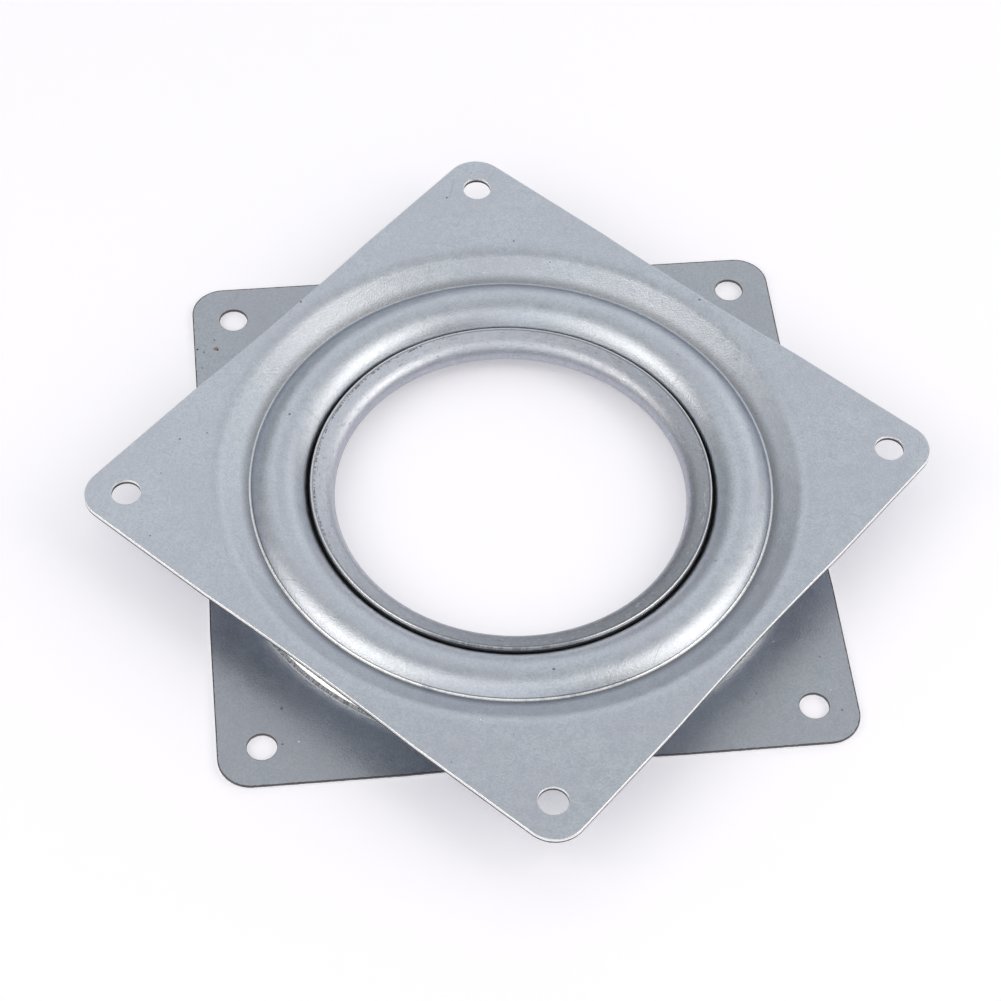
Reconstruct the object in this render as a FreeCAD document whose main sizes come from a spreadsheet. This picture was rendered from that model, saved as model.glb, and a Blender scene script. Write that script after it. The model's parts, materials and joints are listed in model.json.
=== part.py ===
import FreeCAD, Part
import math
import os
from collections import namedtuple
import Sketcher
from FreeCAD import Placement, Rotation, Vector

# Lazy susan bearing: two pressed steel plates that turn on a ring of loose balls.
# The origin is the centre of the lower plate's underside, +Z up, the lower plate square to X and Y.
# Each plate is drawn with its mounting face at height 0 and its pressing below it:
# the upper plate is then lifted to the top face, and the lower plate is turned over.

document = FreeCAD.newDocument("LazySusanBearing")

# Driving sizes, in millimetres and degrees
drivingSizes = {
    "side": 101.6,
    "corner_radius": 5.4,
    "draw_in": 0.32,
    "draw_in_half_length": 21.3,
    "sheet_thickness": 0.9,
    "die_roll": 0.3,
    "hole_diameter": 5.0,
    "upper_hole_inset": 6.35,
    "lower_hole_inset": 7.05,
    "rim_width": 2.7,
    "shoulder_radius": 5.0,
    "slope_run": 5.2,
    "valley_fillet": 0.3,
    "race_margin": 1.125,
    "race_relief": 1.425,
    "race_depth": 0.925,
    "flange_fillet": 0.5,
    "ball_diameter": 6.35,
    "ball_clearance": 0.1,
    "ball_gap": 0.35,
    "lip_gap": 0.05,
    "lip_width": 3.95,
    "lip_depth": 3.0,
    "lip_angle": 17.0,
    "lip_clearance": 0.15,
    "flare_radius": 2.8,
    "hub_bend_radius": 0.15,
    "hub_clearance": 1.2,
    "upper_turn": 44.4,
}

sheet = document.addObject("Spreadsheet::Sheet", "Sizes")
for row, (alias, number) in enumerate(drivingSizes.items(), start=1):
    sheet.set(f"A{row}", alias)
    sheet.set(f"B{row}", str(number))
    sheet.setAlias(f"B{row}", alias)
document.recompute()

# Sizes that follow from the driving ones, as expressions over the sheet
blankRadius = "(0.75 * Sizes.side)"
trimRadius = "(0.8 * Sizes.side)"
stackHeight = ("(2 * (Sizes.race_depth + Sizes.sheet_thickness + Sizes.ball_clearance)"
               " + Sizes.ball_diameter)")
recessRadius = "(Sizes.side / 2 - Sizes.rim_width)"
valleyRadius = f"({recessRadius} - Sizes.slope_run)"
pitchRadius = f"({valleyRadius} - Sizes.ball_diameter / 2 - Sizes.race_margin)"
raceRadius = "(Sizes.ball_diameter / 2 + Sizes.race_relief + Sizes.sheet_thickness)"
raceCentreDepth = f"(Sizes.race_depth + {raceRadius})"
lipRadius = f"({pitchRadius} - {raceRadius} - Sizes.lip_gap)"
neckRadius = f"({lipRadius} - Sizes.lip_width)"
boreRadius = f"({neckRadius} + Sizes.sheet_thickness + Sizes.hub_clearance)"
bendRadius = "(Sizes.hub_bend_radius + Sizes.sheet_thickness)"
lipReach = f"({stackHeight} - Sizes.lip_depth)"
lipAngle = "(Sizes.lip_angle * 1deg)"
flangeDepth = (f"(Sizes.lip_depth + ({lipRadius} - {boreRadius}) * tan({lipAngle})"
               f" + Sizes.sheet_thickness / cos({lipAngle}) + Sizes.lip_clearance)")
bowRadius = "((Sizes.draw_in_half_length ^ 2 + Sizes.draw_in ^ 2) / (2 * Sizes.draw_in))"

# One line or arc of a pressed face. A line has turn 0, an arc 1 to the left or -1 to the right.
Element = namedtuple("Element", "centre start end turn")


def value(expression):
    """The number that an expression over the sheet has now."""
    return float(sheet.evalExpression(expression))


class Outline:
    """A sketch drawn with lines and arcs, rules between them and named dimensions."""

    def __init__(self, sketch):
        self.sketch = sketch

    def line(self, start, end):
        return self.sketch.addGeometry(Part.LineSegment(start, end), False)

    def arc(self, centre, start, end):
        """The arc about centre that runs counterclockwise from start to end."""
        first = math.atan2(start.y - centre.y, start.x - centre.x)
        last = math.atan2(end.y - centre.y, end.x - centre.x)
        if last <= first:
            last += 2 * math.pi
        circle = Part.Circle(centre, Vector(0, 0, 1), (start - centre).Length)
        return self.sketch.addGeometry(Part.ArcOfCircle(circle, first, last), False)

    def circle(self, centre, radius):
        return self.sketch.addGeometry(Part.Circle(centre, Vector(0, 0, 1), radius), False)

    def mark(self, point):
        """A construction point."""
        return self.sketch.addGeometry(Part.Point(point), True)

    def rule(self, *terms):
        return self.sketch.addConstraint(Sketcher.Constraint(*terms))

    def measure(self, name, expression, kind, *terms):
        """A named dimension bound to an expression over the sheet."""
        now = value(expression)
        index = self.rule(kind, *terms, math.radians(now) if kind == "Angle" else now)
        self.sketch.renameConstraint(index, name)
        self.sketch.setExpression(f"Constraints.{name}", expression)

    def place(self, name, expression, axis, side, element, end):
        """How far an element's end lies from the origin, to the plus or minus side of an axis."""
        ends = (-1, 1, element, end) if side > 0 else (element, end, -1, 1)
        self.measure(name, expression, f"Distance{axis}", *ends)


def hubElements():
    """The hub's bend, flare and lip on the bore side, from the flange outward to the lip's rim."""
    angle = math.radians(value("Sizes.lip_angle"))
    flare = value("Sizes.flare_radius")
    bend = value(bendRadius)
    neckX = value(neckRadius)
    lipEnd = Vector(value(lipRadius), -value(lipReach), 0)
    flareEnd = Vector(neckX + flare * (1 - math.sin(angle)), 0, 0)
    flareEnd.y = lipEnd.y + (lipEnd.x - flareEnd.x) * math.tan(angle)
    neck = Vector(neckX, flareEnd.y + flare * math.cos(angle), 0)
    bendCentre = neck + Vector(bend, 0, 0)
    flareCentre = neck + Vector(flare, 0, 0)
    return {
        "bend": Element(bendCentre, bendCentre + Vector(0, bend, 0), neck, 1),
        "flare": Element(flareCentre, neck, flareEnd, 1),
        "lip": Element(None, flareEnd, lipEnd, 0),
    }


def pressedFace(hub):
    """The face of the pressing from the rim inward, as lines and arcs that meet smoothly."""
    shoulder = value("Sizes.shoulder_radius")
    valleyFillet = value("Sizes.valley_fillet")
    flangeFillet = value("Sizes.flange_fillet")
    race = value(raceRadius)
    raceCentre = Vector(value(pitchRadius), -value(raceCentreDepth), 0)
    recess = Vector(value(recessRadius), 0, 0)
    valley = Vector(value(valleyRadius), 0, 0)
    valley.y = raceCentre.y + math.sqrt(race ** 2 - (valley.x - raceCentre.x) ** 2)
    slope = (valley - recess).normalize()
    upward = Vector(slope.y, -slope.x, 0)

    # Rounded shoulder from the flat rim into the slope
    setback = shoulder * math.tan(math.atan2(-slope.y, -slope.x) / 2)
    rimStart = Vector(value(blankRadius), 0, 0)
    rimEnd = recess + Vector(setback, 0, 0)
    shoulderCentre = rimEnd - Vector(0, shoulder, 0)
    slopeStart = recess + slope * setback

    # Tight fillet where the slope meets the foot of the race
    base = slopeStart + upward * valleyFillet - raceCentre
    along = base.dot(slope)
    run = -along - math.sqrt(along ** 2 - base.dot(base) + (race + valleyFillet) ** 2)
    slopeEnd = slopeStart + slope * run
    valleyCentre = slopeEnd + upward * valleyFillet
    raceStart = valleyCentre + (raceCentre - valleyCentre).normalize() * valleyFillet

    # Fillet from the race's inner flank to the flat flange, which the hub continues
    tail = hubElements() if hub else {}
    flangeEnd = tail["bend"].start if hub else Vector(value(boreRadius), -value(flangeDepth), 0)
    rise = flangeEnd.y + flangeFillet - raceCentre.y
    reach = math.sqrt((race + flangeFillet) ** 2 - rise ** 2)
    filletCentre = raceCentre + Vector(-reach, rise, 0)
    flangeStart = filletCentre - Vector(0, flangeFillet, 0)
    raceEnd = filletCentre + (raceCentre - filletCentre).normalize() * flangeFillet

    return {
        "rim": Element(None, rimStart, rimEnd, 0),
        "shoulder": Element(shoulderCentre, rimEnd, slopeStart, 1),
        "slope": Element(None, slopeStart, slopeEnd, 0),
        "valley": Element(valleyCentre, slopeEnd, raceStart, -1),
        "race": Element(raceCentre, raceStart, raceEnd, 1),
        "fillet": Element(filletCentre, raceEnd, flangeStart, -1),
        "flange": Element(None, flangeStart, flangeEnd, 0),
    } | tail


def shifted(element, distance):
    """The element moved to its left by a distance, as the sheet's other face runs."""
    def leftOf(point):
        if element.turn:
            return (element.centre - point).normalize() * element.turn
        along = (element.end - element.start).normalize()
        return Vector(-along.y, along.x, 0)
    start = element.start + leftOf(element.start) * distance
    end = element.end + leftOf(element.end) * distance
    return element._replace(start=start, end=end)


def drawChain(outline, chain):
    """Draws a smooth chain: each element's name with its index and its first and last end."""
    drawn = {}
    for name, element in chain.items():
        if element.turn == 0:
            drawn[name] = (outline.line(element.start, element.end), 1, 2)
        elif element.turn > 0:
            drawn[name] = (outline.arc(element.centre, element.start, element.end), 1, 2)
        else:
            drawn[name] = (outline.arc(element.centre, element.end, element.start), 2, 1)
    ordered = list(drawn.values())
    for (first, _, firstEnd), (second, secondStart, _) in zip(ordered, ordered[1:]):
        outline.rule("Tangent", first, firstEnd, second, secondStart)
    return drawn


def drawSection(sketch, hub):
    """Half section of a plate: the sheet's two faces at one distance, sheared at both ends."""
    outline = Outline(sketch)
    face = pressedFace(hub)
    back = {name: shifted(element, value("Sizes.sheet_thickness")) for name, element in face.items()}
    faceDrawn = drawChain(outline, face)
    backDrawn = drawChain(outline, back)
    edge = {name: index for name, (index, _, _) in faceDrawn.items()}
    other = {name: index for name, (index, _, _) in backDrawn.items()}

    # The two faces share their arcs' centres, and the ends are square to the sheet
    for name, element in face.items():
        if element.turn:
            outline.rule("Coincident", edge[name], 3, other[name], 3)
    outermost, innermost = "rim", list(face)[-1]
    for name, end in ((outermost, 1), (innermost, 2)):
        outline.rule("Parallel", edge[name], other[name])
        points = (face[name].start, back[name].start) if end == 1 else (face[name].end, back[name].end)
        cap = outline.line(*points)
        outline.rule("Coincident", cap, 1, edge[name], end)
        outline.rule("Coincident", cap, 2, other[name], end)
        outline.rule("Perpendicular", cap, edge[name])

    # Radii: where the sheet bends round the back, the back's is smaller by the sheet
    radii = {
        "shoulder": "Sizes.shoulder_radius",
        "valley": "Sizes.valley_fillet",
        "race": raceRadius,
        "fillet": "Sizes.flange_fillet",
    }
    if hub:
        radii |= {"bend": bendRadius, "flare": "Sizes.flare_radius"}
    for name, radius in radii.items():
        outline.measure(f"{name}_radius", radius, "Radius", edge[name])
        if name in ("shoulder", "race", "flare"):
            inner = f"{radius} - Sizes.sheet_thickness"
            outline.measure(f"{name}_back_radius", inner, "Radius", other[name])

    # Rim, slope and race
    outline.rule("PointOnObject", edge["rim"], 1, -1)
    outline.rule("Horizontal", edge["rim"])
    outline.place("blank", blankRadius, "X", 1, edge["rim"], 1)
    recess = outline.mark(Vector(value(recessRadius), 0, 0))
    outline.rule("PointOnObject", recess, 1, -1)
    outline.rule("PointOnObject", recess, 1, edge["slope"])
    outline.place("recess", recessRadius, "X", 1, recess, 1)
    valley = outline.mark(face["valley"].end)
    outline.rule("PointOnObject", valley, 1, edge["slope"])
    outline.rule("PointOnObject", valley, 1, edge["race"])
    outline.place("valley", valleyRadius, "X", 1, valley, 1)
    outline.place("pitch", pitchRadius, "X", 1, edge["race"], 3)
    outline.place("race_centre_depth", raceCentreDepth, "Y", -1, edge["race"], 3)
    outline.rule("Horizontal", edge["flange"])

    if hub:
        outline.rule("Horizontal", edge["bend"], 3, edge["flare"], 3)
        outline.place("neck", neckRadius, "X", 1, edge["flare"], 1)
        outline.place("lip", lipRadius, "X", 1, edge["lip"], 2)
        outline.place("lip_reach", lipReach, "Y", -1, edge["lip"], 2)
        outline.measure("lip_angle", f"-{lipAngle}", "Angle", edge["lip"])
    else:
        outline.place("bore", boreRadius, "X", 1, edge["flange"], 2)
        outline.place("flange_depth", flangeDepth, "Y", -1, edge["flange"], 2)


def drawOutline(sketch):
    """The blank's edge inside a wide ring: rounded corners, sides drawn in at the middle."""
    outline = Outline(sketch)
    half = value("Sizes.side / 2")
    corner = value("Sizes.corner_radius")
    length = value("Sizes.draw_in_half_length")
    bowCentre = Vector(half - value("Sizes.draw_in") + value(bowRadius), 0, 0)
    cornerCentre = Vector(half - corner, half - corner, 0)
    points = [Vector(half, corner - half, 0), Vector(half, -length, 0), Vector(half, length, 0),
              Vector(half, half - corner, 0), Vector(half - corner, half, 0)]

    # Each side counterclockwise: which way it faces, and which way it runs
    sides = [("X", 1, "Y", 1), ("Y", 1, "X", -1), ("X", -1, "Y", -1), ("Y", -1, "X", 1)]
    drawn = []
    for quarter in range(len(sides)):
        turned = Rotation(Vector(0, 0, 1), 90 * quarter).multVec
        spots = [turned(point) for point in points]
        drawn.append((
            outline.line(spots[0], spots[1]),
            outline.arc(turned(bowCentre), spots[2], spots[1]),
            outline.line(spots[2], spots[3]),
            outline.arc(turned(cornerCentre), spots[3], spots[4]),
        ))
    for quarter, (facing, facingSide, running, runningSide) in enumerate(sides):
        before, bow, after, rounded = drawn[quarter]
        following = drawn[(quarter + 1) % len(sides)][0]
        outline.rule("Coincident", before, 2, bow, 2)
        outline.rule("Coincident", bow, 1, after, 1)
        outline.rule("Tangent", after, 2, rounded, 1)
        outline.rule("Tangent", rounded, 2, following, 1)
        level = "Vertical" if facing == "X" else "Horizontal"
        outline.rule(level, before)
        outline.rule(level, after)
        outline.rule(level, bow, 1, bow, 2)
        outline.place(f"half_side_{quarter}", "Sizes.side / 2", facing, facingSide, after, 1)
        bowEnd = "Sizes.draw_in_half_length"
        outline.place(f"bow_start_{quarter}", bowEnd, running, -runningSide, before, 2)
        outline.place(f"bow_end_{quarter}", bowEnd, running, runningSide, after, 1)
        outline.measure(f"bow_radius_{quarter}", bowRadius, "Radius", bow)
        outline.measure(f"corner_radius_{quarter}", "Sizes.corner_radius", "Radius", rounded)
    ring = outline.circle(Vector(0, 0, 0), value(trimRadius))
    outline.rule("Coincident", ring, 3, -1, 1)
    outline.measure("trim", trimRadius, "Radius", ring)


def drawHole(sketch, inset):
    """One screw hole near a corner."""
    outline = Outline(sketch)
    place = f"(Sizes.side / 2 - {inset})"
    hole = outline.circle(Vector(value(place), value(place), 0), value("Sizes.hole_diameter / 2"))
    outline.place("across", place, "X", 1, hole, 3)
    outline.place("along", place, "Y", 1, hole, 3)
    outline.measure("diameter", "Sizes.hole_diameter", "Diameter", hole)


def rolledEdges(shape):
    """Names of the edges that the die rounded: the face's outline, its holes and the lip's rim."""
    near = 1e-4
    names = []
    for number, edge in enumerate(shape.Edges, start=1):
        middle = edge.CenterOfMass
        ring = len(edge.Vertexes) == 1 and math.hypot(middle.x, middle.y) < near
        height = -value(lipReach) if ring else 0.0
        box = edge.BoundBox
        if abs(box.ZMin - height) < near and abs(box.ZMax - height) < near:
            names.append(f"Edge{number}")
    return names


def newSketch(body, role, name):
    """A sketch on one of the body's own origin planes."""
    sketch = body.newObject("Sketcher::SketchObject", name)
    plane = next(item for item in body.Origin.OriginFeatures if item.Role == role)
    sketch.AttachmentSupport = [(plane, "")]
    sketch.MapMode = "FlatFace"
    return sketch


def cutThrough(body, sketch, name):
    """A cut along the sketch right through the plate."""
    cut = body.newObject("PartDesign::Pocket", name)
    cut.Profile = sketch
    cut.Type = "ThroughAll"
    cut.Midplane = True
    return cut


def pressedPlate(name, inset, hub):
    """A plate: revolved pressing, blank cut to its outline, four holes, rolled edges."""
    body = document.addObject("PartDesign::Body", name)
    body.Label = name

    section = newSketch(body, "XZ_Plane", f"{name}_section")
    drawSection(section, hub)
    pressing = body.newObject("PartDesign::Revolution", f"{name}_pressing")
    pressing.Profile = section
    pressing.ReferenceAxis = (section, ["V_Axis"])
    pressing.Angle = 360

    outline = newSketch(body, "XY_Plane", f"{name}_outline")
    drawOutline(outline)
    cutThrough(body, outline, f"{name}_trim")

    hole = newSketch(body, "XY_Plane", f"{name}_hole")
    drawHole(hole, inset)
    punched = cutThrough(body, hole, f"{name}_punched")
    holes = body.newObject("PartDesign::PolarPattern", f"{name}_holes")
    holes.Originals = [punched]
    holes.Axis = (hole, ["N_Axis"])
    holes.Angle = 360
    holes.Occurrences = 4
    body.Tip = holes
    document.recompute()

    roll = body.newObject("PartDesign::Fillet", f"{name}_roll")
    roll.Base = (holes, rolledEdges(holes.Shape))
    roll.setExpression("Radius", "Sizes.die_roll")
    body.Tip = roll
    document.recompute()
    return body


def ballRing():
    """Loose balls spread evenly round the race, as many as fit with the least gap."""
    chord = value("Sizes.ball_diameter + Sizes.ball_gap")
    count = int(math.pi / math.asin(chord / 2 / value(pitchRadius)))
    balls = []
    for number in range(count):
        name = f"ball_{number + 1:02d}"
        ball = document.addObject("Part::Sphere", name)
        ball.Label = name
        ball.setExpression("Radius", "Sizes.ball_diameter / 2")
        angle = f"{number} * 360deg / {count}"
        ball.setExpression("Placement.Base.x", f"{pitchRadius} * cos({angle})")
        ball.setExpression("Placement.Base.y", f"{pitchRadius} * sin({angle})")
        ball.setExpression("Placement.Base.z", f"{stackHeight} / 2")
        balls.append(ball)
    return balls


lowerPlate = pressedPlate("lower_plate", "Sizes.lower_hole_inset", True)
lowerPlate.Placement = Placement(Vector(0, 0, 0), Rotation(Vector(1, 0, 0), 180))
upperPlate = pressedPlate("upper_plate", "Sizes.upper_hole_inset", False)
upperPlate.Placement.Rotation = Rotation(Vector(0, 0, 1), 0)
upperPlate.setExpression("Placement.Base.z", stackHeight)
upperPlate.setExpression("Placement.Rotation.Angle", "Sizes.upper_turn * 1deg")
pieces = [lowerPlate, upperPlate] + ballRing()
document.recompute()

for item in document.Objects:
    if "Invalid" in item.State or "Error" in item.State:
        raise RuntimeError(f"{item.Name} failed: {item.State}")
    if item.TypeId == "Sketcher::SketchObject" and (item.solve() != 0 or item.DoF != 0):
        raise RuntimeError(f"{item.Name} is not fully constrained")
for piece in pieces:
    if piece.Shape.isNull() or not piece.Shape.isValid():
        raise RuntimeError(f"{piece.Label} has no valid shape")

os.makedirs("parts", exist_ok=True)
for piece in pieces:
    piece.Shape.exportStep(os.path.join("parts", f"{piece.Label}.step"))
print(f"{len(pieces)} pieces, stack height {value(stackHeight):.2f} mm")
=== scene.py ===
import json
import math

import bmesh
import bpy
from mathutils import Euler, Matrix, Vector

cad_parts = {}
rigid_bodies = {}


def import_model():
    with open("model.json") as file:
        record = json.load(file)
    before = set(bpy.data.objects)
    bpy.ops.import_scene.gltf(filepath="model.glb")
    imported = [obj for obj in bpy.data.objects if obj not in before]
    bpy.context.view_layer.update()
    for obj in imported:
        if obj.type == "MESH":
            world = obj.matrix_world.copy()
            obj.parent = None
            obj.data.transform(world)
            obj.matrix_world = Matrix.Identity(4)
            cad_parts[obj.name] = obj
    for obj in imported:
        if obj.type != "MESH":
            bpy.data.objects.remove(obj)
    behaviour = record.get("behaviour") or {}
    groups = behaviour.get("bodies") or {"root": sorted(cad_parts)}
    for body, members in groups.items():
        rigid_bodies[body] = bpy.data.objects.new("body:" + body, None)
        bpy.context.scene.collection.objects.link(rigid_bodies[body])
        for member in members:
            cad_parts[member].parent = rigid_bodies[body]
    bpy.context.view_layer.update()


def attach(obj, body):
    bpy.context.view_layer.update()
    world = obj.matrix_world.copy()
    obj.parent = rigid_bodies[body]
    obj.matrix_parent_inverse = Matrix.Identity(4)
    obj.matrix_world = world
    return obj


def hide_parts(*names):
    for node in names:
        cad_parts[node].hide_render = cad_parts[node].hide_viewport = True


# Lazy susan bearing: two pressed zinc-coated plates crossed on a ring of balls.

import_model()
mm = 0.001


# small helpers for node trees

def addNode(tree, kind, settings=None, **inputs):
    # a node with its settings, and its inputs by name, as a value or as another node's socket
    node = tree.nodes.new(kind)
    for name, setting in (settings or {}).items():
        setattr(node, name, setting)
    for name, given in inputs.items():
        socket = findInput(node, name)
        if isinstance(given, bpy.types.NodeSocket):
            tree.links.new(given, socket)
        else:
            socket.default_value = given
    return node


def findInput(node, name):
    # "scale" finds Scale, "input1" finds the second input where names repeat
    if name.startswith("input"):
        return node.inputs[int(name[5:])]
    wanted = name.lower()
    for socket in node.inputs:
        if socket.enabled and socket.name.replace(" ", "").lower() == wanted:
            return socket
    raise KeyError(f"{node.bl_idname} has no input {name}")


def math2(tree, operation, first, second=0.0, clamp=False):
    return addNode(tree, "ShaderNodeMath", {"operation": operation, "use_clamp": clamp},
                   input0=first, input1=second).outputs[0]


def mixed(tree, factor, first, second, blend="MIX"):
    # two colours, or two values where the second is a number or a value socket
    if not isinstance(second, tuple) and getattr(second, "type", "") != "RGBA":
        return addNode(tree, "ShaderNodeMix", {"data_type": "FLOAT"},
                       factor=factor, a=first, b=second).outputs[0]
    first, second = [(*given, 1) if isinstance(given, tuple) else given for given in (first, second)]
    return addNode(tree, "ShaderNodeMix", {"data_type": "RGBA", "blend_type": blend},
                   factor=factor, a=first, b=second).outputs[2]


def rising(tree, value, start, end):
    # 0 below start and 1 above end, or the other way round where end is the smaller
    low, high = (0.0, 1.0) if start < end else (1.0, 0.0)
    return addNode(tree, "ShaderNodeMapRange", {"interpolation_type": "SMOOTHSTEP"}, value=value,
                   frommin=min(start, end), frommax=max(start, end), tomin=low, tomax=high).outputs[0]


def near(tree, value, centre, reach, fade):
    # 1 within reach of the centre, gone after the fade
    away = math2(tree, "ABSOLUTE", math2(tree, "SUBTRACT", value, centre))
    return rising(tree, away, reach + fade, reach)


def chained(tree, operation, values):
    result = values[0]
    for value in values[1:]:
        result = math2(tree, operation, result, value)
    return result


def times(tree, *factors):
    return chained(tree, "MULTIPLY", factors)


def plus(tree, *terms):
    return chained(tree, "ADD", terms)


def centred(tree, value, amount):
    # a noise between 0 and 1 made to swing about 0
    return times(tree, math2(tree, "SUBTRACT", value, 0.5), amount)


def vectorMath(tree, operation, first, **inputs):
    node = addNode(tree, "ShaderNodeVectorMath", {"operation": operation}, input0=first, **inputs)
    return node.outputs["Value" if operation in ("LENGTH", "DISTANCE", "DOT_PRODUCT") else "Vector"]


def noise(tree, place, scale, detail, roughness):
    return addNode(tree, "ShaderNodeTexNoise", vector=place, scale=scale, detail=detail,
                   roughness=roughness).outputs[0]


def compared(tree, value, operation, limit, kind="FLOAT"):
    return addNode(tree, "FunctionNodeCompare", {"data_type": kind, "operation": operation},
                   a=value, b=limit).outputs[0]


def andBoth(tree, first, second):
    return addNode(tree, "FunctionNodeBooleanMath", {"operation": "AND"},
                   input0=first, input1=second).outputs[0]


def groupSockets(tree, inputs, outputs):
    # named sockets of a node group: (name, kind, default)
    for name, kind, default in inputs:
        socket = tree.interface.new_socket(name, in_out="INPUT", socket_type="NodeSocket" + kind)
        if default is not None:
            socket.default_value = default
    for name, kind in outputs:
        tree.interface.new_socket(name, in_out="OUTPUT", socket_type="NodeSocket" + kind)


# the pressed section, from the rim inward

pressing = {  # mm and degrees, drawn with the mounting face at height 0 and the pressing below it
    "side": 101.6,
    "cornerRadius": 5.4,
    "drawIn": 0.32,
    "drawInHalfLength": 21.3,
    "sheet": 0.9,
    "holeRadius": 2.4,
    "rimWidth": 2.7,
    "rimStrip": 0.2,
    "shoulderRadius": 5.0,
    "slopeRun": 5.2,
    "valleyFillet": 0.3,
    "raceMargin": 1.125,
    "raceRelief": 1.425,
    "raceDepth": 0.925,
    "flangeFillet": 0.5,
    "ball": 6.35,
    "ballClearance": 0.1,
    "arcStep": 5.0,
    "sharpAngle": 32.0,
}

hub = {  # the lower plate's neck, flare and lip, which hold the upper plate down
    "lipGap": 0.05,
    "lipWidth": 3.95,
    "lipDepth": 3.0,
    "lipAngle": 17.0,
    "lipClearance": 0.15,
    "flareRadius": 2.8,
    "bendRadius": 0.15,
    "clearance": 1.2,
}

stackHeight = 2 * (pressing["raceDepth"] + pressing["sheet"] + pressing["ballClearance"]) + pressing["ball"]
recessRadius = pressing["side"] / 2 - pressing["rimWidth"]
valleyRadius = recessRadius - pressing["slopeRun"]
pitchRadius = valleyRadius - pressing["ball"] / 2 - pressing["raceMargin"]
raceRadius = pressing["ball"] / 2 + pressing["raceRelief"] + pressing["sheet"]
lipRadius = pitchRadius - raceRadius - hub["lipGap"]
neckRadius = lipRadius - hub["lipWidth"]
boreRadius = neckRadius + pressing["sheet"] + hub["clearance"]


def line(start, end):
    return {"start": start, "end": end, "centre": None, "turn": 0}


def arc(centre, start, end, turn):
    return {"start": start, "end": end, "centre": centre, "turn": turn}


def pressedChain(withHub):
    # the face as lines and arcs that meet smoothly, turn 1 to the left and -1 to the right
    race = Vector((pitchRadius, -pressing["raceDepth"] - raceRadius))
    recess = Vector((recessRadius, 0))
    valleyDrop = math.sqrt(raceRadius ** 2 - (valleyRadius - race.x) ** 2)
    slope = (Vector((valleyRadius, race.y + valleyDrop)) - recess).normalized()
    upward = Vector((slope.y, -slope.x))
    shoulder = pressing["shoulderRadius"]
    setback = shoulder * math.tan(math.atan2(-slope.y, -slope.x) / 2)
    rimEnd = recess + Vector((setback, 0))
    slopeStart = recess + slope * setback
    fillet = pressing["valleyFillet"]
    base = slopeStart + upward * fillet - race
    along = base.dot(slope)
    run = -along - math.sqrt(along ** 2 - base.dot(base) + (raceRadius + fillet) ** 2)
    slopeEnd = slopeStart + slope * run
    valley = slopeEnd + upward * fillet
    raceStart = valley + (race - valley).normalized() * fillet

    angle = math.radians(hub["lipAngle"])
    flare = hub["flareRadius"]
    bend = hub["bendRadius"] + pressing["sheet"]
    lipEnd = Vector((lipRadius, hub["lipDepth"] - stackHeight))
    flareEnd = Vector((neckRadius + flare * (1 - math.sin(angle)), 0))
    flareEnd.y = lipEnd.y + (lipEnd.x - flareEnd.x) * math.tan(angle)
    neck = Vector((neckRadius, flareEnd.y + flare * math.cos(angle)))
    flangeDepth = (hub["lipDepth"] + (lipRadius - boreRadius) * math.tan(angle)
                   + pressing["sheet"] / math.cos(angle) + hub["lipClearance"])
    height = neck.y + bend if withHub else -flangeDepth
    flangeEnd = Vector((neck.x + bend if withHub else boreRadius, height))
    foot = pressing["flangeFillet"]
    rise = height + foot - race.y
    filletCentre = race + Vector((-math.sqrt((raceRadius + foot) ** 2 - rise ** 2), rise))
    flangeStart = filletCentre - Vector((0, foot))
    raceEnd = filletCentre + (race - filletCentre).normalized() * foot

    chain = [
        line(rimEnd + Vector((pressing["rimStrip"], 0)), rimEnd),
        arc(rimEnd - Vector((0, shoulder)), rimEnd, slopeStart, 1),
        line(slopeStart, slopeEnd),
        arc(valley, slopeEnd, raceStart, -1),
        arc(race, raceStart, raceEnd, 1),
        arc(filletCentre, raceEnd, flangeStart, -1),
        line(flangeStart, flangeEnd),
    ]
    if withHub:
        chain.append(arc(neck + Vector((bend, 0)), flangeEnd, neck, 1))
        chain.append(arc(neck + Vector((flare, 0)), neck, flareEnd, 1))
        chain.append(line(flareEnd, lipEnd))
    return chain


def alongChain(chain):
    # points of a chain with their left-hand normals
    points = []
    for piece in chain:
        start, end, centre, turn = piece["start"], piece["end"], piece["centre"], piece["turn"]
        if turn == 0:
            direction = (end - start).normalized()
            left = Vector((-direction.y, direction.x))
            points += [(start, left), (end, left)]
            continue
        first = math.atan2(start.y - centre.y, start.x - centre.x)
        last = math.atan2(end.y - centre.y, end.x - centre.x)
        sweep = (last - first) * turn % (2 * math.pi)
        steps = max(2, math.ceil(math.degrees(sweep) / pressing["arcStep"]))
        radius = (start - centre).length
        for step in range(steps + 1):
            angle = first + turn * sweep * step / steps
            outward = Vector((math.cos(angle), math.sin(angle)))
            points.append((centre + outward * radius, -outward * turn))
    distinct = [points[0]]
    for point, normal in points[1:]:
        if (point - distinct[-1][0]).length > 1e-4:
            distinct.append((point, normal))
    return distinct


# The "band" of a plate's surface, which its materials read: 0 on the face, from 1 to 2 down a sheared
# wall, from 2.4 to 3 over the burr along it, and 3 on the back
faceBand, wallBand, wallEndBand, burrBand, backBand = 0.0, 1.0, 2.0, 2.4, 3.0

shear = {  # how a punch leaves an edge, in mm, and as the share of the sheet that it cuts before it tears
    "edgeCut": 0.62,
    "holeCut": 0.42,
    "tornStep": 0.02,
    "edgeRoll": 0.13,
    "holeRoll": 0.1,
    "lipRoll": 0.16,
    "boreRoll": 0.06,
    "edgeStrip": 0.25,
    "holeStrip": 0.08,
}
tornBand = wallBand + 0.6


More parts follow.
